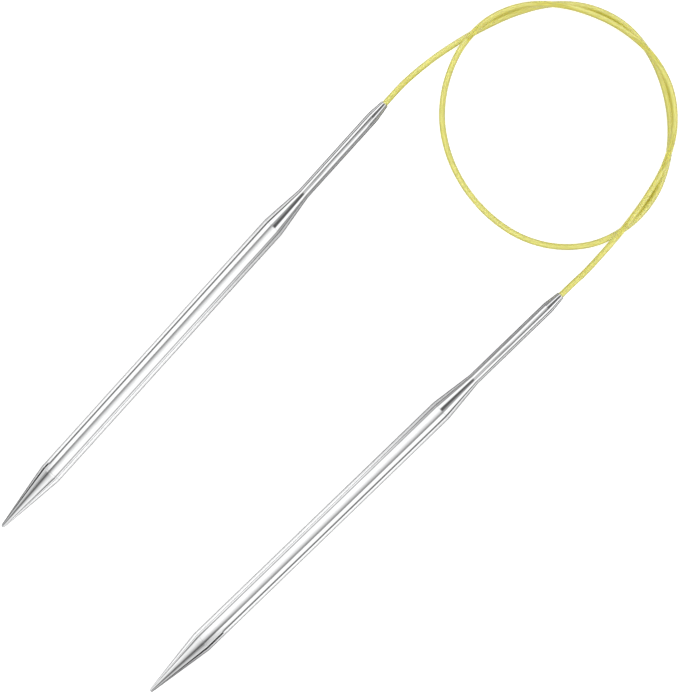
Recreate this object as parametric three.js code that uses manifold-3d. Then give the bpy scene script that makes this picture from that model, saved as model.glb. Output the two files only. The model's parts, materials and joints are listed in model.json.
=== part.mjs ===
// Fixed circular knitting needle: two hollow metal needles joined by one flexible plastic cord.
// Millimetres, +Z up. The needles lie side by side on the plane z = 0 with their points towards -Y.
// The cord leaves their other ends towards +Y and lies beyond them in one loop, crossed on itself.
import * as THREE from "three";
import Module from "manifold-3d";
import { mergeVertices } from "three/addons/utils/BufferGeometryUtils.js";

const wasm = await Module();
wasm.setup();

// ---------------------------------------------------------------- driving dimensions

// One needle, measured along its axis from the tip to the mouth that the cord comes out of.
const needleLength = 139.7;
const shaftDiameter = 5.5;
const shaftWall = 0.5;
const pointLength = 18;
const tipRadius = 0.5;
const shoulderLength = 11;
const neckDiameter = 2.9;
const neckLength = 25.4;
const mouthTaperLength = 4.3;
const mouthWall = 0.15;

// The spigots on the point and on the neck, which are pressed into the shaft.
const spigotLength = 8;
const spigotWall = 0.3;
const spigotChamfer = 0.3;

// The sleeve crimped on the cord's end. It seats in a pocket behind the neck's narrower bore.
const crimpLength = 7;
const pocketPastShoulder = 2;

// The cord.
const cordDiameter = 1.5;
const cordInMouth = 4.4;
const cordPastCrimp = 1;
const cordStep = 4.3;

// Clearances: between end faces, in the pressed and crimped fits, and round the cord.
const faceGap = 0.3;
const pressGap = 0.2;
const crimpGap = 0.1;
const boreGap = 0.2;

// Facets of the turned pieces and of the cord's section.
const turnedSides = 24;
const tipArcSteps = 4;
const cordSides = 8;

const metalColour = 0xd8dadb;
const pointColour = 0xdcdddd;
const crimpColour = 0xb9babb;
const cordColour = 0xd8d15a;

// ---------------------------------------------------------------- sizes that follow from them

const shaftRadius = shaftDiameter / 2;
const boreRadius = shaftRadius - shaftWall;
const spigotRadius = boreRadius - pressGap;
const pocketRadius = spigotRadius - spigotWall;
const neckRadius = neckDiameter / 2;
const cordRadius = cordDiameter / 2;
const cordBoreRadius = cordRadius + boreGap;
const mouthRadius = cordBoreRadius + mouthWall;
const crimpRadius = pocketRadius - pressGap;
const crimpBoreRadius = cordRadius + crimpGap;

const mouthTaperStart = needleLength - mouthTaperLength;
const neckStart = mouthTaperStart - neckLength;
const shoulderStart = neckStart - shoulderLength;
const shaftStart = pointLength + faceGap;
const shaftEnd = shoulderStart - faceGap;
const pocketEnd = shoulderStart + pocketPastShoulder;
const crimpEnd = pocketEnd - faceGap;
const crimpStart = crimpEnd - crimpLength;

// A needle rests on one facet of its shaft, so its axis is at the height of a facet.
const axisHeight = shaftRadius * Math.cos(Math.PI / turnedSides);

// ---------------------------------------------------------------- the cord's route

// From the left mouth to the right one: up the left lead, once round clockwise on the resting
// plane, then a second time over the top and down the right side, lying on the first pass.
const route = [
  [-31.8, 71.65, axisHeight],
  [-31.95, 76.05, axisHeight],
  [-31.85, 80.4, 2.65],
  [-31.05, 87.5, 1.9],
  [-29.6, 94.65, 1.1],
  [-27.5, 101.9, 0.85],
  [-24.1, 110.35, 0.85],
  [-19.1, 118.1, 0.85],
  [-12.0, 123.8, 0.85],
  [-3.3, 126.6, 0.85],
  [5.8, 125.9, 0.85],
  [14.35, 122.45, 0.85],
  [21.8, 117.05, 0.85],
  [27.75, 109.95, 0.85],
  [31.45, 101.6, 0.85],
  [32.0, 92.5, 0.85],
  [29.3, 83.6, 0.85],
  [23.45, 76.45, 0.85],
  [15.55, 71.8, 0.85],
  [6.6, 69.95, 0.85],
  [-2.65, 70.55, 0.85],
  [-11.45, 73.5, 0.85],
  [-19.05, 78.75, 0.85],
  [-24.6, 85.95, 1.3],
  [-27.85, 94.5, 2.3],
  [-28.05, 103.55, 2.65],
  [-24.65, 111.9, 2.55],
  [-18.3, 118.5, 2.55],
  [-10.25, 123.05, 2.45],
  [-1.45, 125.55, 2.45],
  [7.7, 125.65, 2.55],
  [16.3, 122.8, 2.45],
  [23.3, 116.75, 2.45],
  [27.8, 108.75, 2.55],
  [30.2, 99.9, 2.5],
  [31.45, 90.8, 2.55],
  [31.9, 84.65, 2.6],
  [32.15, 76.8, 2.65],
  [31.95, 72.35, axisHeight],
  [31.8, 67.95, axisHeight],
].map(([x, y, z]) => new THREE.Vector3(x, y, z));

// The flexing point of each lead, where a needle swings, counted in points from its mouth.
const flexPoint = 2;

// ---------------------------------------------------------------- shapes

// A turned piece: the profile is a list of [radius, place along the axis], on or round +Y. One
// facet faces straight down, and the profile runs so that its faces point outwards.
function turned(profile) {
  const points = profile.map(([radius, along]) => new THREE.Vector2(radius, along));
  return new THREE.LatheGeometry(points, turnedSides, Math.PI / turnedSides);
}

function tube(outer, inner, start, end) {
  return turned([
    [inner, start],
    [outer, start],
    [outer, end],
    [inner, end],
    [inner, start],
  ]);
}

// The solid point: a rounded tip, a straight cone up to the shaft's diameter, and its spigot.
function pointShape() {
  const slant = Math.atan((shaftRadius - tipRadius) / (pointLength - tipRadius));
  const profile = [];
  for (let i = 0; i <= tipArcSteps; i += 1) {
    const angle = ((Math.PI / 2 - slant) * i) / tipArcSteps;
    const radius = i === 0 ? 0 : tipRadius * Math.sin(angle);
    profile.push([radius, tipRadius * (1 - Math.cos(angle))]);
  }
  const spigotEnd = pointLength + faceGap + spigotLength;
  profile.push(
    [shaftRadius, pointLength],
    [spigotRadius, pointLength],
    [spigotRadius, spigotEnd - spigotChamfer],
    [spigotRadius - spigotChamfer, spigotEnd],
    [0, spigotEnd],
  );
  return turned(profile);
}

// The neck: its spigot, the shoulder cone, the narrow tube, and the mouth closed down on the cord.
// It is hollow all through: a pocket for the crimp, then a bore for the cord alone.
function neckShape() {
  const spigotStart = shaftEnd - spigotLength;
  return turned([
    [pocketRadius, spigotStart],
    [spigotRadius, spigotStart],
    [spigotRadius, shoulderStart],
    [shaftRadius, shoulderStart],
    [neckRadius, neckStart],
    [neckRadius, mouthTaperStart],
    [mouthRadius, needleLength],
    [cordBoreRadius, needleLength],
    [cordBoreRadius, pocketEnd],
    [pocketRadius, pocketEnd],
    [pocketRadius, spigotStart],
  ]);
}

// The part of a longer curve between two lengths along it.
class Stretch extends THREE.Curve {
  constructor(whole, from, to) {
    super();
    this.whole = whole;
    this.from = from;
    this.to = to;
  }

  getPoint(t, target = new THREE.Vector3()) {
    const along = this.from + (this.to - this.from) * t;
    return this.whole.getPointAt(along / this.whole.getLength(), target);
  }
}

// A solid cord along a curve, with a many-sided section inside the cord's own circle.
function cordAlong(curve, steps = Math.round(curve.getLength() / cordStep)) {
  const section = new THREE.Shape();
  for (let i = 0; i < cordSides; i += 1) {
    const angle = (2 * Math.PI * (i + 0.5)) / cordSides;
    const x = cordRadius * Math.cos(angle);
    const y = cordRadius * Math.sin(angle);
    if (i === 0) section.moveTo(x, y);
    else section.lineTo(x, y);
  }
  section.closePath();
  return new THREE.ExtrudeGeometry(section, { steps, extrudePath: curve, bevelEnabled: false });
}

// A ball as thick as the cord, which rounds off a cord's end where the next stretch bends on it.
function ballAt(place) {
  return new THREE.SphereGeometry(cordRadius, cordSides, cordSides).translate(...place.toArray());
}

function solidFrom(geometry) {
  const bare = new THREE.BufferGeometry();
  bare.setAttribute("position", geometry.getAttribute("position"));
  bare.setIndex(geometry.index);
  const merged = mergeVertices(bare, 1e-4);
  const mesh = new wasm.Mesh({
    numProp: 3,
    vertProperties: merged.attributes.position.array,
    triVerts: new Uint32Array(merged.index.array),
  });
  return new wasm.Manifold(mesh);
}

function joined(first, ...others) {
  const whole = others.reduce((sum, next) => sum.add(solidFrom(next)), solidFrom(first));
  const mesh = whole.getMesh();
  const geometry = new THREE.BufferGeometry();
  geometry.setAttribute("position", new THREE.BufferAttribute(mesh.vertProperties, 3));
  geometry.setIndex(new THREE.BufferAttribute(mesh.triVerts, 1));
  geometry.computeVertexNormals();
  return geometry;
}

// ---------------------------------------------------------------- assembly

function piece(name, geometry, color, roughness, metalness) {
  const material = new THREE.MeshStandardMaterial({ color, roughness, metalness });
  const mesh = new THREE.Mesh(geometry, material);
  mesh.name = name;
  return mesh;
}

function cordPiece(name, geometry) {
  return piece(name, geometry, cordColour, 0.35, 0);
}

// One needle in its own frame, tip at the origin and mouth towards +Y, then set so that its mouth
// is at a given place and its axis runs on into the cord's first step.
function makeNeedle(side, mouth, nextOnCord) {
  const needle = new THREE.Group();
  const tail = new THREE.LineCurve3(
    new THREE.Vector3(0, crimpStart - cordPastCrimp, 0),
    new THREE.Vector3(0, needleLength - cordInMouth - faceGap, 0),
  );
  needle.add(
    piece(`${side}_point`, pointShape(), pointColour, 0.12, 1),
    piece(`${side}_shaft`, tube(shaftRadius, boreRadius, shaftStart, shaftEnd), metalColour, 0.1, 1),
    piece(`${side}_neck`, neckShape(), metalColour, 0.14, 1),
    piece(`${side}_crimp`, tube(crimpRadius, crimpBoreRadius, crimpStart, crimpEnd), crimpColour, 0.3, 1),
    cordPiece(`${side}_cord_tail`, cordAlong(tail, 1)),
  );
  const out = nextOnCord.clone().sub(mouth).normalize();
  needle.rotation.z = Math.atan2(-out.x, out.y);
  needle.position.copy(mouth).addScaledVector(out, -needleLength);
  return needle;
}

// The whole route with a straight stretch added at each end, inside the needle's mouth.
function fullPath() {
  const inside = (mouth, next) => {
    const back = mouth.clone().sub(next).normalize();
    return mouth.clone().addScaledVector(back, cordInMouth);
  };
  const points = [inside(route[0], route[1]), ...route, inside(route.at(-1), route.at(-2))];
  const path = new THREE.CatmullRomCurve3(points, false, "catmullrom", 0.5);
  const samplesPerPoint = 60;
  path.arcLengthDivisions = samplesPerPoint * (points.length - 1);
  const lengths = path.getLengths();
  const lengthTo = (index) => lengths[samplesPerPoint * index];
  return { path, lengthTo, last: points.length - 1 };
}

// The cord outside the needles: a short lead on each side that moves with its needle, and the loop
// between them. They meet on round ends, which clear each other as a lead bends.
function makeCord() {
  const { path, lengthTo, last } = fullPath();
  const leftFlex = lengthTo(flexPoint + 1);
  const rightFlex = lengthTo(last - flexPoint - 1);
  const setBack = cordRadius + faceGap / 2;
  const leftLead = new Stretch(path, 0, leftFlex - setBack);
  const loop = new Stretch(path, leftFlex + setBack, rightFlex - setBack);
  const rightLead = new Stretch(path, rightFlex + setBack, lengthTo(last));
  const cord = new THREE.Group();
  cord.add(
    cordPiece("left_cord_lead", joined(cordAlong(leftLead), ballAt(leftLead.getPoint(1)))),
    cordPiece("cord_loop", joined(cordAlong(loop), ballAt(loop.getPoint(0)), ballAt(loop.getPoint(1)))),
    cordPiece("right_cord_lead", joined(cordAlong(rightLead), ballAt(rightLead.getPoint(0)))),
  );
  return cord;
}

const circularNeedle = new THREE.Group();
circularNeedle.add(
  makeNeedle("left", route[0], route[1]),
  makeNeedle("right", route.at(-1), route.at(-2)),
  makeCord(),
);

export default circularNeedle;
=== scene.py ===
"""A fixed circular knitting needle: two polished metal needles on one translucent plastic cord.

Metres, +Z up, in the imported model's frame. The needles lie on the floor with their points towards
-Y, and the cord leaves them towards +Y and lies beyond them in one loop, crossed on itself.
"""

import json
import math

import bmesh
import bpy
from mathutils import Matrix, Vector


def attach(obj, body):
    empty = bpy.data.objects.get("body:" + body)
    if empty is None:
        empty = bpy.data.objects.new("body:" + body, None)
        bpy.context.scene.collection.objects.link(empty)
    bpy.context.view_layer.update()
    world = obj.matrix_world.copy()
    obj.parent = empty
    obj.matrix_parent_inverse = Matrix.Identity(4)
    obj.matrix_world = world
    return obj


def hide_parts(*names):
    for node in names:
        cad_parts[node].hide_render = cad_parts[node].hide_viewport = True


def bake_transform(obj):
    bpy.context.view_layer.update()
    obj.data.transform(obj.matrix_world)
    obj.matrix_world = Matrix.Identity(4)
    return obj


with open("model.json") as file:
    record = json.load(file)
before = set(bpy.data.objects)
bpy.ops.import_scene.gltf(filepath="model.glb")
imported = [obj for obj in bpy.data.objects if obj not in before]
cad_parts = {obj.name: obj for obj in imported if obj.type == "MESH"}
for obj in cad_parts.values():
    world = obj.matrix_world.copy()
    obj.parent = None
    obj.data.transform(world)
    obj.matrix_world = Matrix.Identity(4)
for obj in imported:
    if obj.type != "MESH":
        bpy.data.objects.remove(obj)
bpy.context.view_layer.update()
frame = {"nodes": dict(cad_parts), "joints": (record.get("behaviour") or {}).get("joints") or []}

MM = 0.001
SIDES = ("left", "right")
JOINTS = {joint["name"]: joint for joint in frame["joints"]}


def joint_place(name):
    return Vector(JOINTS[name]["pos_m"])


def joint_axis(name):
    return Vector(JOINTS[name]["axis"]).normalized()


# ------------------------------------------------------------------ sizes, in millimetres

CORD_RADIUS = 0.75
CORD_IN_MOUTH = 4.4

NEEDLE_LENGTH = 139.7
SHAFT_RADIUS = 2.75
SHAFT_WALL = 0.5
POINT_LENGTH = 18.0
TIP_RADIUS = 0.5
SPIGOT_LENGTH = 8.0
SPIGOT_GAP = 0.2
SPIGOT_WALL = 0.3
POCKET_PAST_SHOULDER = 2.0
SHOULDER_LENGTH = 11.0
NECK_RADIUS = 1.45
NECK_LENGTH = 25.4
MOUTH_TAPER = 4.3
MOUTH_RADIUS = 0.95
MOUTH_GRIP = 2.2
GRIP_TAPER = 0.8
NECK_GAP = 0.2
MOUTH_GAP = 0.04
SEAM = 0.02

SHAFT_BORE = SHAFT_RADIUS - SHAFT_WALL
SPIGOT_RADIUS = SHAFT_BORE - SPIGOT_GAP
POCKET_RADIUS = SPIGOT_RADIUS - SPIGOT_WALL
NECK_BORE = CORD_RADIUS + NECK_GAP
MOUTH_BORE = CORD_RADIUS + MOUTH_GAP
MOUTH_TAPER_START = NEEDLE_LENGTH - MOUTH_TAPER
NECK_START = MOUTH_TAPER_START - NECK_LENGTH
SHOULDER_START = NECK_START - SHOULDER_LENGTH

# ------------------------------------------------------------------ camera

# Looking straight down, turned so that the needles run from the lower left to the upper right.
VIEW_CENTRE = Vector((1.67, 21.14, 2.7)) * MM
VIEW_TURN = math.radians(44.07)
VIEW_HEIGHT = 170.0 * MM
LENS = 200.0
SENSOR = 36.0


def make_camera():
    data = bpy.data.cameras.new("camera")
    data.lens = LENS
    data.sensor_width = SENSOR
    camera = bpy.data.objects.new("camera", data)
    bpy.context.collection.objects.link(camera)
    camera.location = VIEW_CENTRE + Vector((0, 0, VIEW_HEIGHT * LENS / SENSOR))
    camera.rotation_euler = (0, 0, VIEW_TURN)
    bpy.context.scene.camera = camera


make_camera()

# ------------------------------------------------------------------ the cord

AXIS_HEIGHT = joint_place("left_twist").z / MM

# The cord's centre line from the left mouth to the right one, in millimetres.
ROUTE = [
    (-31.8, 71.65, AXIS_HEIGHT),
    (-31.95, 76.05, AXIS_HEIGHT),
    (-31.85, 80.4, 2.65),
    (-31.05, 87.5, 1.9),
    (-29.6, 94.65, 1.1),
    (-27.5, 101.9, 0.85),
    (-24.1, 110.35, 0.85),
    (-19.1, 118.1, 0.85),
    (-12.0, 123.8, 0.85),
    (-3.3, 126.6, 0.85),
    (5.8, 125.9, 0.85),
    (14.35, 122.45, 0.85),
    (21.8, 117.05, 0.85),
    (27.75, 109.95, 0.85),
    (31.45, 101.6, 0.85),
    (32.0, 92.5, 0.85),
    (29.3, 83.6, 0.85),
    (23.45, 76.45, 0.85),
    (15.55, 71.8, 0.85),
    (6.6, 69.95, 0.85),
    (-2.65, 70.55, 0.85),
    (-11.45, 73.5, 0.85),
    (-19.05, 78.75, 0.85),
    (-24.6, 85.95, 1.3),
    (-27.85, 94.5, 2.3),
    (-28.05, 103.55, 2.65),
    (-24.65, 111.9, 2.55),
    (-18.3, 118.5, 2.55),
    (-10.25, 123.05, 2.45),
    (-1.45, 125.55, 2.45),
    (7.7, 125.65, 2.55),
    (16.3, 122.8, 2.45),
    (23.3, 116.75, 2.45),
    (27.8, 108.75, 2.55),
    (30.2, 99.9, 2.5),
    (31.45, 90.8, 2.55),
    (31.9, 84.65, 2.6),
    (32.15, 76.8, 2.65),
    (31.95, 72.35, AXIS_HEIGHT),
    (31.8, 67.95, AXIS_HEIGHT),
]

# The cord is two pieces. They meet under the crossing on the loop's right side, at this place along
# the route, counted in points.
MEET = 15.15
CORD_SIDES = 20
STEPS_PER_POINT = 14


def inside(mouth, following):
    """The end of the cord's straight stretch inside a mouth."""
    return mouth + (mouth - following).normalized() * CORD_IN_MOUTH * MM


def route_curve():
    """The route as a function of a place counted in points: a uniform Catmull-Rom curve."""
    points = [Vector(p) * MM for p in ROUTE]
    points = [inside(points[0], points[1]), *points, inside(points[-1], points[-2])]
    before = points[0] * 2 - points[1]
    after = points[-1] * 2 - points[-2]
    held = [before, *points, after]

    def at(place):
        first = min(int(place + 1), len(points) - 2)
        t = place + 1 - first
        a, b, c, d = held[first : first + 4]
        return 0.5 * (
            2 * b + (c - a) * t + (2 * a - 5 * b + 4 * c - d) * t**2 + (3 * b - a - 3 * c + d) * t**3
        )

    return at


def centre_line(start, end):
    """Points along the route from one place to another, evenly spaced in places."""
    at = route_curve()
    count = round((end - start) * STEPS_PER_POINT)
    return [at(start + (end - start) * i / count) for i in range(count + 1)]


def link_mesh(name, bm, material):
    """An object made from a finished bmesh, with its faces pointing outwards."""
    bmesh.ops.recalc_face_normals(bm, faces=bm.faces)
    mesh = bpy.data.meshes.new(name)
    bm.to_mesh(mesh)
    bm.free()
    mesh.materials.append(material)
    mesh.shade_smooth()
    piece = bpy.data.objects.new(name, mesh)
    bpy.context.collection.objects.link(piece)
    return piece


def tube_along(name, path, radius, material):
    """A closed round tube along a path, with UVs in millimetres: u round it and v along it."""
    bm = bmesh.new()
    uv = bm.loops.layers.uv.new("UVMap")
    tangents = [
        (path[min(i + 1, len(path) - 1)] - path[max(i - 1, 0)]).normalized() for i in range(len(path))
    ]
    normal = tangents[0].orthogonal().normalized()
    rings = []
    lengths = [0.0]
    for i, (point, tangent) in enumerate(zip(path, tangents)):
        normal = (normal - tangent * normal.dot(tangent)).normalized()
        side = tangent.cross(normal)
        ring = []
        for k in range(CORD_SIDES):
            angle = 2 * math.pi * k / CORD_SIDES
            ring.append(bm.verts.new(point + (normal * math.cos(angle) + side * math.sin(angle)) * radius))
        rings.append(ring)
        if i:
            lengths.append(lengths[-1] + (point - path[i - 1]).length)
    around = 2 * math.pi * radius / MM
    for i in range(len(rings) - 1):
        for k in range(CORD_SIDES):
            after = (k + 1) % CORD_SIDES
            face = bm.faces.new((rings[i][k], rings[i][after], rings[i + 1][after], rings[i + 1][k]))
            places = ((k, i), (k + 1, i), (k + 1, i + 1), (k, i + 1))
            for loop, (turn, along) in zip(face.loops, places):
                loop[uv].uv = (around * turn / CORD_SIDES, lengths[along] / MM)
    bm.faces.new(rings[0][::-1])
    bm.faces.new(rings[-1])
    return link_mesh(name, bm, material)


# ------------------------------------------------------------------ node helpers


class Nodes:
    """A material's or world's node tree, with short calls that make a node and link its inputs."""

    def __init__(self, tree):
        self.tree = tree
        tree.nodes.clear()

    def add(self, kind, values=None, **settings):
        node = self.tree.nodes.new(kind)
        for key, value in settings.items():
            setattr(node, key, value)
        for key, value in (values or {}).items():
            self.put(node.inputs[key], value)
        return node

    def put(self, socket, value):
        if isinstance(value, bpy.types.NodeSocket):
            self.tree.links.new(value, socket)
        else:
            socket.default_value = value

    def math(self, operation, *values, clamp=False):
        node = self.add("ShaderNodeMath", operation=operation, use_clamp=clamp)
        for i, value in enumerate(values):
            self.put(node.inputs[i], value)
        return node.outputs[0]

    def ramp(self, value, low, high, start=0.0, end=1.0, smooth=True):
        """value taken from low..high to start..end, and held outside."""
        kind = "SMOOTHSTEP" if smooth else "LINEAR"
        node = self.add("ShaderNodeMapRange", interpolation_type=kind)
        for key, number in (("From Min", low), ("From Max", high), ("To Min", start), ("To Max", end)):
            node.inputs[key].default_value = number
        self.put(node.inputs["Value"], value)
        return node.outputs["Result"]

    def blend(self, factor, first, second):
        """first where factor is 0 and second where it is 1, as colours."""
        node = self.add("ShaderNodeMix", data_type="RGBA")
        self.put(node.inputs[0], factor)
        self.put(node.inputs[6], first)
        self.put(node.inputs[7], second)
        return node.outputs[2]

    def stops(self, place, stops):
        """A value that runs straight between (place, value) stops."""
        ramp = self.add("ShaderNodeValToRGB", {"Fac": place})
        elements = ramp.color_ramp.elements
        while len(elements) < len(stops):
            elements.new(1.0)
        for element, (position, value) in zip(elements, stops):
            element.position = position
            element.color = (value, value, value, 1)
        return ramp.outputs["Color"]

    def stretched(self, vector, factors):
        return self.add("ShaderNodeVectorMath", {0: vector, 1: factors}, operation="MULTIPLY").outputs[0]

    def noise(self, vector, scale, detail=2.0):
        node = self.add("ShaderNodeTexNoise", {"Vector": vector, "Scale": scale, "Detail": detail})
        return node.outputs["Fac"]


def new_material(name):
    material = bpy.data.materials.new(name)
    material.use_nodes = True
    return material, Nodes(material.node_tree)


# ------------------------------------------------------------------ materials

# How deep the fine lines on the metal and on the cord are.
LINE_DEPTH = 0.02 * MM


def metal(name, colour, roughness):
    """Polished plate with fine turning lines round it and faint handling marks along it."""
    material, n = new_material(name)
    place = n.add("ShaderNodeTexCoord").outputs["UV"]
    lines = n.noise(n.stretched(place, (0.05, 3.0, 1.0)), 1.0, 3.0)
    streaks = n.noise(n.stretched(place, (2.5, 0.12, 1.0)), 1.0, 4.0)
    cloud = n.noise(place, 0.35)
    rough = n.math("MULTIPLY_ADD", n.ramp(streaks, 0.45, 0.75), 0.05, roughness)
    rough = n.math("MULTIPLY_ADD", n.ramp(cloud, 0.3, 0.7), 0.03, rough)
    dim = tuple(c * 0.96 for c in colour[:3]) + (1,)
    tint = n.blend(n.ramp(cloud, 0.35, 0.65), colour, dim)
    bump = n.add("ShaderNodeBump", {"Strength": 0.09, "Distance": LINE_DEPTH, "Height": lines})
    shader = n.add(
        "ShaderNodeBsdfPrincipled",
        {"Base Color": tint, "Roughness": rough, "Metallic": 1.0, "Normal": bump.outputs[0]},
    )
    n.add("ShaderNodeOutputMaterial", {"Surface": shader.outputs[0]})
    return material


# The share of the light that the cord's cloudy plastic scatters, and how much its lines change it.
CLOUDINESS = 0.3
CLOUDINESS_CHANGE = 0.04


def cord_plastic():
    """Clear yellow-green monofilament, cloudy inside, with faint drawing lines along it."""
    material, n = new_material("cord_plastic")
    place = n.add("ShaderNodeTexCoord").outputs["UV"]
    lines = n.noise(n.stretched(place, (3.0, 0.05, 1.0)), 1.0, 3.0)
    cloud = n.ramp(n.noise(place, 0.25), 0.35, 0.65)
    clear_tint = n.blend(cloud, (0.95, 0.92, 0.32, 1), (0.92, 0.89, 0.29, 1))
    cloudy_tint = n.blend(cloud, (0.87, 0.84, 0.28, 1), (0.85, 0.82, 0.25, 1))
    rough = n.ramp(lines, 0.3, 0.7, 0.06, 0.14)
    bump = n.add("ShaderNodeBump", {"Strength": 0.15, "Distance": LINE_DEPTH, "Height": lines})
    gloss = {
        "Roughness": rough,
        "IOR": 1.5,
        "Coat Weight": 0.4,
        "Coat Roughness": 0.08,
        "Coat Tint": (0.96, 0.95, 0.90, 1),
        "Normal": bump.outputs[0],
    }
    clear = n.add(
        "ShaderNodeBsdfPrincipled", {"Base Color": clear_tint, "Transmission Weight": 1.0, **gloss}
    )
    cloudy = n.add(
        "ShaderNodeBsdfPrincipled",
        {
            "Base Color": cloudy_tint,
            "Subsurface Weight": 1.0,
            "Subsurface Radius": (1.0, 0.9, 0.5),
            "Subsurface Scale": 0.5 * MM,
            **gloss,
        },
    )
    share = n.ramp(lines, 0.3, 0.7, CLOUDINESS - CLOUDINESS_CHANGE, CLOUDINESS + CLOUDINESS_CHANGE)
    both = n.add("ShaderNodeMixShader", {0: share, 1: clear.outputs[0], 2: cloudy.outputs[0]})
    n.add("ShaderNodeOutputMaterial", {"Surface": both.outputs[0]})
    return material


METAL = metal("needle_metal", (0.80, 0.805, 0.81, 1), 0.07)
CRIMP_METAL = metal("crimp_metal", (0.72, 0.73, 0.74, 1), 0.3)
CORD_PLASTIC = cord_plastic()

# ------------------------------------------------------------------ the cord's two pieces

RIGHT_END = len(ROUTE)

# How far the stretch of each lead reaches to either side of its swing joint. Before it the cord
# follows the loop, and past it the lead. Both run at a slant, so that no other part of the loop lies
# past them.
LEFT_BEND = Vector((-0.7187, -0.6954, 0)) * 5.9 * MM
RIGHT_BEND = Vector((0.6954, -0.7187, 0)) * 5.05 * MM


def make_cord():
    left_path = centre_line(-1, MEET)
    right_path = list(reversed(centre_line(MEET, RIGHT_END)))
    left = tube_along("cord_left", left_path, CORD_RADIUS * MM, CORD_PLASTIC)
    right = tube_along("cord_right", right_path, CORD_RADIUS * MM, CORD_PLASTIC)
    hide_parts("left_cord_lead", "cord_loop")
    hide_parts("right_cord_lead")
    for piece, side, bend in ((left, "left", LEFT_BEND), (right, "right", RIGHT_BEND)):
        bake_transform(piece)


make_cord()

# ------------------------------------------------------------------ the needles

# How finely the needles are turned, the rings' spacing along straight stretches and how close to
# each corner the last one is, both in millimetres.
TURNED_SIDES = 128
TIP_STEPS = 14
FILLET_STEPS = 5
RING_STEP = 4.0
SUPPORT = 0.04


def rounded(corners):
    """A profile with its corners rounded: each corner is (radius from the axis, place along it,
    fillet radius), and a fillet of 0 leaves the corner as it is."""
    profile = []
    for i, (r, along, fillet) in enumerate(corners):
        corner = Vector((r, along))
        if not fillet or i in (0, len(corners) - 1):
            profile.append(corner)
            continue
        back = (Vector(corners[i - 1][:2]) - corner).normalized()
        ahead = (Vector(corners[i + 1][:2]) - corner).normalized()
        half = back.angle(ahead) / 2
        setback = fillet / math.tan(half)
        centre = corner + (back + ahead).normalized() * fillet / math.sin(half)
        first = corner + back * setback - centre
        last = corner + ahead * setback - centre
        sweep = first.angle_signed(last)
        for k in range(FILLET_STEPS + 1):
            turn = -sweep * k / FILLET_STEPS
            spun = Matrix.Rotation(turn, 2) @ first
            profile.append(centre + spun)
    return profile


def supported(profile):
    """The profile with rings added to its long straight stretches, one close to each end, so that
    smooth shading stays true right up to every corner."""
    rows = [profile[0]]
    for first, last in zip(profile, profile[1:]):
        length = (last - first).length
        if length > 4 * SUPPORT:
            inner = length - 2 * SUPPORT
            steps = max(1, round(inner / RING_STEP))
            rows += [first.lerp(last, (SUPPORT + inner * i / steps) / length) for i in range(steps + 1)]
        rows.append(last)
    return rows


def turned(name, profile, place, material):
    """A closed piece turned from a profile of (radius, place along the axis), in millimetres, with
    UVs in millimetres: u round it and v along the profile."""
    closed = (profile[0] - profile[-1]).length < 1e-9
    rows = supported(profile)
    if closed:
        rows.pop()
    bm = bmesh.new()
    uv = bm.loops.layers.uv.new("UVMap")
    rings = []
    lengths = [0.0]
    for i, (r, along) in enumerate(rows):
        if r < 1e-6:
            rings.append([bm.verts.new(place @ Vector((0, along * MM, 0)))] * TURNED_SIDES)
        else:
            ring = []
            for k in range(TURNED_SIDES):
                angle = 2 * math.pi * k / TURNED_SIDES
                local = Vector((r * math.sin(angle), along, r * math.cos(angle))) * MM
                ring.append(bm.verts.new(place @ local))
            rings.append(ring)
        if i:
            lengths.append(lengths[-1] + (rows[i] - rows[i - 1]).length)
    around = 2 * math.pi * SHAFT_RADIUS
    count = len(rings) if closed else len(rings) - 1
    for i in range(count):
        j = (i + 1) % len(rings)
        for k in range(TURNED_SIDES):
            after = (k + 1) % TURNED_SIDES
            corners = [(i, k, k), (i, after, k + 1), (j, after, k + 1), (j, k, k)]
            verts = []
            places = []
            for row, spot, turn in corners:
                vert = rings[row][spot]
                if vert not in verts:
                    verts.append(vert)
                    v = lengths[row] if row >= i else lengths[-1]
                    places.append((around * turn / TURNED_SIDES, v))
            face = bm.faces.new(verts)
            for loop, point in zip(face.loops, places):
                loop[uv].uv = point
    return link_mesh(name, bm, material)


def point_profile():
    slant = math.atan((SHAFT_RADIUS - TIP_RADIUS) / (POINT_LENGTH - TIP_RADIUS))
    profile = []
    for i in range(TIP_STEPS + 1):
        angle = (math.pi / 2 - slant) * i / TIP_STEPS
        profile.append(Vector((TIP_RADIUS * math.sin(angle), TIP_RADIUS * (1 - math.cos(angle)))))
    last = profile[-1]
    spigot_end = POINT_LENGTH + SPIGOT_LENGTH
    corners = rounded([
        (last.x, last.y, 0),
        (SHAFT_RADIUS, POINT_LENGTH - 0.6, 4.0),
        (SHAFT_RADIUS, POINT_LENGTH, 0.03),
        (SPIGOT_RADIUS, POINT_LENGTH, 0),
        (SPIGOT_RADIUS, spigot_end, 0.3),
        (0, spigot_end, 0),
    ])
    return profile + corners[1:]


def shaft_profile():
    start = POINT_LENGTH + SEAM
    end = SHOULDER_START - SEAM
    return rounded([
        (SHAFT_BORE, (start + end) / 2, 0),
        (SHAFT_BORE, start, 0.03),
        (SHAFT_RADIUS, start, 0.03),
        (SHAFT_RADIUS, end, 0.03),
        (SHAFT_BORE, end, 0.03),
        (SHAFT_BORE, (start + end) / 2, 0),
    ])


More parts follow.
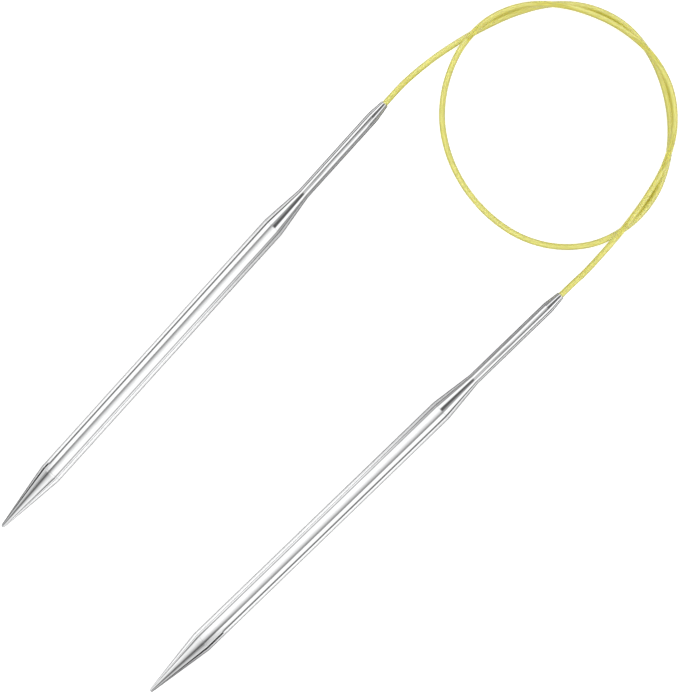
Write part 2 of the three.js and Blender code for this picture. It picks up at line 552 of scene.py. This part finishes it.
def neck_profile():
    pocket_end = SHOULDER_START + POCKET_PAST_SHOULDER
    spigot_start = SHOULDER_START - SPIGOT_LENGTH
    return rounded([
        (POCKET_RADIUS, SHOULDER_START, 0),
        (POCKET_RADIUS, spigot_start, 0.05),
        (SPIGOT_RADIUS, spigot_start, 0.2),
        (SPIGOT_RADIUS, SHOULDER_START, 0),
        (SHAFT_RADIUS, SHOULDER_START, 0.03),
        (NECK_RADIUS, NECK_START, 5.0),
        (NECK_RADIUS, MOUTH_TAPER_START, 6.0),
        (MOUTH_RADIUS, NEEDLE_LENGTH, 0.1),
        (MOUTH_BORE, NEEDLE_LENGTH, 0.05),
        (MOUTH_BORE, NEEDLE_LENGTH - MOUTH_GRIP, 0.1),
        (NECK_BORE, NEEDLE_LENGTH - MOUTH_GRIP - GRIP_TAPER, 0.1),
        (NECK_BORE, pocket_end, 0.1),
        (POCKET_RADIUS, pocket_end, 0.05),
        (POCKET_RADIUS, SHOULDER_START, 0),
    ])


def make_needle(side):
    mouth = joint_place(side + "_twist")
    axis = joint_axis(side + "_twist")
    turn = Matrix.Rotation(math.atan2(-axis.x, axis.y), 4, "Z")
    place = Matrix.Translation(mouth - axis * NEEDLE_LENGTH * MM) @ turn
    parts = {"point": point_profile(), "shaft": shaft_profile(), "neck": neck_profile()}
    for part, profile in parts.items():
        piece = turned(f"{side}_{part}_turned", profile, place, METAL)
        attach(piece, side + "_needle")
        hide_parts(f"{side}_{part}")


for side in SIDES:
    make_needle(side)


def repaint(node, material):
    """Gives a CAD node that stays in the model its finished material."""
    mesh = frame["nodes"][node].data
    mesh.materials.clear()
    mesh.materials.append(material)


for side in SIDES:
    repaint(side + "_crimp", CRIMP_METAL)
    repaint(side + "_cord_tail", CORD_PLASTIC)

# ------------------------------------------------------------------ floor and light

FLOOR_DROP = 0.03 * MM
FLOOR_SIZE = 4.0
FLOOR_GLOW = 0.45
SKY = 1.3
TENT_ENDS = 0.6

# The bright panel far below the cord: its middle, its reach to each side, its strength at places
# away from the middle, as shares of its width, and its colour away from the middle.
FIELD_MIDDLE = Vector((0, 97, -300)) * MM
FIELD_REACH = 2.0
FIELD_LEVELS = [
    (0, 1), (0.006, 1), (0.014, 0.95), (0.03, 0.8), (0.045, 0.62), (0.07, 0.45), (0.15, 0.3), (1, 0.3),
]
FIELD_EDGE = (1, 0.97, 0.5, 1)


def make_floor():
    """A white light table: it gives some light of its own, so shadows on it are faint."""
    bpy.ops.mesh.primitive_plane_add(size=FLOOR_SIZE, location=(0, 0, -FLOOR_DROP))
    floor = bpy.context.object
    floor.name = "floor"
    material, n = new_material("floor_white")
    surface = n.add("ShaderNodeBsdfDiffuse", {"Color": (0.85, 0.85, 0.85, 1)})
    glow = n.add("ShaderNodeEmission", {"Color": (1, 1, 1, 1), "Strength": FLOOR_GLOW})
    both = n.add("ShaderNodeAddShader")
    n.tree.links.new(surface.outputs[0], both.inputs[0])
    n.tree.links.new(glow.outputs[0], both.inputs[1])
    n.add("ShaderNodeOutputMaterial", {"Surface": both.outputs[0]})
    floor.data.materials.append(material)
    floor.visible_transmission = False


def make_sky():
    """A white tent all round, a little darker at both ends of the needles."""
    world = bpy.data.worlds.new("tent")
    world.use_nodes = True
    bpy.context.scene.world = world
    n = Nodes(world.node_tree)
    direction = n.add("ShaderNodeTexCoord").outputs["Generated"]
    lengthwise = n.add("ShaderNodeSeparateXYZ", {"Vector": direction}).outputs["Y"]
    end = n.ramp(n.math("ABSOLUTE", lengthwise), 0.35, 0.95)
    light = n.blend(end, (1, 1, 1, 1), (TENT_ENDS, TENT_ENDS, TENT_ENDS, 1))
    back = n.add("ShaderNodeBackground", {"Color": light, "Strength": SKY})
    n.add("ShaderNodeOutputWorld", {"Surface": back.outputs[0]})


def flag_material(name, across, along, colour=(0, 0, 0, 1)):
    """A flag that covers the light behind it by a share that changes across and along it. Both are
    lists of (place from 0 to 1, share). It is black unless it has a colour."""
    material, n = new_material(name)
    place = n.add("ShaderNodeTexCoord").outputs["UV"]
    parts = n.add("ShaderNodeSeparateXYZ", {"Vector": place})
    cover = n.math("MULTIPLY", n.stops(parts.outputs["X"], across), n.stops(parts.outputs["Y"], along))
    clear = n.add("ShaderNodeBsdfTransparent")
    solid = n.add("ShaderNodeEmission", {"Color": colour, "Strength": 1.0})
    mixed = n.add("ShaderNodeMixShader", {0: cover, 1: clear.outputs[0], 2: solid.outputs[0]})
    n.add("ShaderNodeOutputMaterial", {"Surface": mixed.outputs[0]})
    return material


def make_flag(name, material, *quads):
    """A flag of four-cornered faces that shows only in reflections."""
    bm = bmesh.new()
    uv = bm.loops.layers.uv.new("UVMap")
    for corners in quads:
        face = bm.faces.new([bm.verts.new(corner) for corner in corners])
        for loop, place in zip(face.loops, ((0, 0), (1, 0), (1, 1), (0, 1))):
            loop[uv].uv = place
    flag = link_mesh(name, bm, material)
    flag.visible_camera = False
    flag.visible_diffuse = False
    flag.visible_shadow = False
    flag.visible_transmission = False
    flag.visible_volume_scatter = False
    return flag


# The flags that draw the dark lines on the metal. Each is a strip along a needle, from one
# (outwards, height) to another in millimetres, outwards from the needle's axis and up from the
# floor, with its cover across it, its cover along it, and where it starts and ends along Y.
WHOLE = (-100.0, 86.0)
NEEDLE_FLAGS = {
    "overhead": (
        (-12.0, 36.0), (19.6, 36.0),
        [(0, 0), (0.19, 0.15), (0.38, 0.35), (0.57, 0.68), (0.76, 0.92), (0.985, 0.97), (1, 0)],
        [(0, 0.95), (0.23, 0.95), (0.3, 0.76), (0.7, 0.76), (0.74, 0.64), (0.77, 0.68), (0.8, 0.97), (1, 1)],
        WHOLE,
    ),
    "shoulder": (
        (-13.0, 35.0), (1.5, 35.0),
        [(0, 0), (0.12, 0.45), (0.85, 0.45), (1, 0)],
        [(0, 0), (0.1, 1), (0.8, 1), (1, 0)],
        (33.0, 53.0),
    ),
    "point": (
        (-30.0, 37.0), (110.0, 37.0),
        [(0, 0), (0.08, 0.2), (0.34, 0.3), (0.38, 0.7), (0.45, 0.65), (0.52, 0.4), (0.9, 0.45), (1, 0)],
        [(0, 1), (0.85, 1), (1, 0)],
        (-100.0, -52.0),
    ),
    # Painted shade: the floor under the needle, dark as its contact shadow, seen only in the metal.
    "painted_contact_shadow": (
        (-4.3, 0.1), (4.3, 0.1),
        [(0, 0), (0.1, 0.92), (0.9, 0.92), (1, 0)],
        [(0, 1), (1, 1)],
        WHOLE,
    ),
    "outer_rail": (
        (13.0, 3.3), (13.0, 9.6),
        [(0, 0), (0.2, 0.97), (0.8, 0.97), (1, 0)],
        [(0, 0.84), (0.52, 0.84), (0.7, 1), (1, 1)],
        (-50.0, 86.0),
    ),
    "point_rail": (
        (13.0, 0.6), (13.0, 7.8),
        [(0, 0), (0.08, 0.97), (0.75, 0.97), (1, 0)],
        [(0, 1), (1, 1)],
        (-100.0, -50.0),
    ),
    # Painted shade: this flag and the next three lie on the floor beside the needle and darken it where
    # shade falls, seen only in the metal's reflections.
    "outer_floor": (
        (1.0, 0.0), (28.0, 0.0),
        [(0, 0.97), (0.11, 0.95), (0.2, 0.8), (0.3, 0.55), (0.45, 0.15), (0.7, 0.05), (1, 0)],
        [(0, 1), (0.22, 1), (0.3, 0.6), (0.63, 0.6), (0.79, 1), (1, 1)],
        WHOLE,
    ),
    "outer_far": (
        (7.0, 0.0), (28.0, 0.0),
        [(0, 0), (0.15, 0.6), (0.6, 0.5), (1, 0.3)],
        [(0, 1), (0.2, 1), (0.28, 0), (0.6, 0), (0.77, 0.7), (1, 0.8)],
        WHOLE,
    ),
    "inner_floor": (
        (-28.0, 0.0), (-1.0, 0.0),
        [(0, 0), (0.4, 0.05), (0.6, 0.25), (0.74, 0.6), (0.87, 0.97), (1, 1)],
        [(0, 0.55), (0.48, 0.6), (0.67, 0.9), (0.77, 1), (1, 1)],
        WHOLE,
    ),
    "inner_far": (
        (-30.0, 0.0), (-6.0, 0.0),
        [(0, 0.5), (0.5, 0.55), (0.8, 0.5), (1, 0)],
        [(0, 0), (0.5, 0), (0.6, 0.35), (0.7, 0.85), (0.77, 1), (1, 1)],
        WHOLE,
    ),
    "inner_rail": (
        (-13.0, 2.0), (-13.0, 13.0),
        [(0, 0.58), (0.4, 0.58), (0.75, 0.3), (1, 0)],
        [(0, 0), (0.55, 0), (0.67, 0.65), (0.78, 1), (1, 1)],
        WHOLE,
    ),
}


def beside_needle(side, along_y, place):
    """The point at (outwards, height) beside a needle's axis, at a place along Y, in millimetres."""
    outwards, height = place
    mouth = joint_place(side + "_twist")
    foot = mouth + joint_axis(side + "_twist") * (along_y * MM - mouth.y)
    away = math.copysign(1.0, mouth.x)
    return Vector((foot.x + away * outwards * MM, foot.y, height * MM))


def make_needle_flags():
    for name, (first, last, across, along, (start, end)) in NEEDLE_FLAGS.items():
        material = flag_material("flag_" + name, across, along)
        outline = ((start, first), (start, last), (end, last), (end, first))
        for side in SIDES:
            corners = [beside_needle(side, along_y, place) for along_y, place in outline]
            make_flag(f"{side}_{name}", material, corners)


# The flags that both needles share: a rail between them, a taller card between their mouths, the
# dark opening far above them that the camera is in, and a grey card of painted shade on the table
# under the loop, which shows only in the cord's gloss. Each has its corners in millimetres, its
# cover across it and its cover along it.
SHARED_FLAGS = {
    "middle_rail": (
        [(0, -100, 11), (0, -100, 20), (0, 110, 20), (0, 110, 11)],
        [(0, 0), (0.3, 0.45), (0.7, 0.45), (1, 0)],
        [(0, 1), (1, 1)],
    ),
    "mouth_card": (
        [(0, 68, 10), (0, 68, 38), (0, 110, 38), (0, 110, 10)],
        [(0, 0), (0.2, 0.7), (0.8, 0.7), (1, 0)],
        [(0, 1), (1, 1)],
    ),
    "opening": (
        [(-150, 60, 340), (150, 60, 340), (150, 220, 340), (-150, 220, 340)],
        [(0, 0), (0.25, 0.82), (0.75, 0.82), (1, 0)],
        [(0, 0), (0.24, 1), (0.75, 1), (1, 0)],
    ),
    "painted_shade_under_loop": (
        [(-100, 86, 0), (100, 86, 0), (100, 200, 0), (-100, 200, 0)],
        [(0, 0.45), (1, 0.45)],
        [(0, 1), (1, 1)],
    ),
}


def make_shared_flags():
    for name, (outline, across, along) in SHARED_FLAGS.items():
        make_flag(name, flag_material("flag_" + name, across, along), [Vector(c) * MM for c in outline])


def make_bright_field():
    """A light panel far below the table that shows only through the clear cord. It is brightest
    under the loop, so what the cord's flanks refract is dimmer and warmer than what its middle
    does."""
    material, n = new_material("bright_field")
    place = n.add("ShaderNodeTexCoord").outputs["UV"]
    centre = (0.5, 0.5, 0)
    away = n.add("ShaderNodeVectorMath", {0: place, 1: centre}, operation="DISTANCE").outputs["Value"]
    level = n.stops(away, FIELD_LEVELS)
    tint = n.blend(n.ramp(away, 0.014, 0.05), (1, 1, 1, 1), FIELD_EDGE)
    light = n.add("ShaderNodeEmission", {"Color": tint, "Strength": level})
    n.add("ShaderNodeOutputMaterial", {"Surface": light.outputs[0]})
    square = ((-1, -1, 0), (1, -1, 0), (1, 1, 0), (-1, 1, 0))
    corners = [FIELD_MIDDLE + Vector(corner) * FIELD_REACH for corner in square]
    panel = make_flag("bright_field", material, corners)
    panel.visible_glossy = False
    panel.visible_transmission = True


# The places along the route between which its two passes lie side by side, and the samples taken
# for each point there. A card of painted shade stands between the passes where their middles are at
# least GAP_LEAST apart, from one of GAP_EDGES up to the other, in millimetres.
UPPER_PASS = (24.2, 35.4)
LOWER_PASS = (4.5, 16.8)
GAP_STEPS = 20
GAP_LEAST = 0.8
GAP_EDGES = (0.1, 3.1)
# How much the painted shade between the passes covers, and its amber colour.
GAP_COVER = 0.95
GAP_SHADE_AMBER = (0.42, 0.35, 0.005, 1)


def make_painted_shade_cards():
    """Amber cards of painted shade between the loop's two passes where they lie side by side. Each
    pass hides the light from the other's flank there, and the cards stand in for the deep yellow
    shade left between them."""
    at = route_curve()

    def sampled(start, end):
        return [at(start + i / GAP_STEPS) for i in range(round((end - start) * GAP_STEPS))]

    lower = sampled(*LOWER_PASS)
    foot, head = (Vector((0, 0, edge * MM)) for edge in GAP_EDGES)
    quads = []
    last = None
    for point in sampled(*UPPER_PASS):
        near = min(lower, key=lambda other: (other - point).xy.length)
        apart = (near - point).xy.length > GAP_LEAST * MM
        middle = ((near + point) / 2).xy.to_3d() if apart else None
        if last and middle:
            quads.append([last + foot, middle + foot, middle + head, last + head])
        last = middle
    across = [(0, GAP_COVER), (1, GAP_COVER)]
    # Painted shade between the passes: seen in reflections, through the plastic and by diffuse light, and
    # casting shadows.
    cards = make_flag("painted_shade_cards", flag_material("flag_painted_shade_amber", across, [(0, 1), (1, 1)], GAP_SHADE_AMBER), *quads)
    cards.visible_transmission = True
    cards.visible_diffuse = True
    cards.visible_shadow = True


make_floor()
make_sky()
make_needle_flags()
make_shared_flags()
make_bright_field()
make_painted_shade_cards()

scene = bpy.context.scene
scene.view_settings.view_transform = "Standard"
scene.view_settings.look = "None"
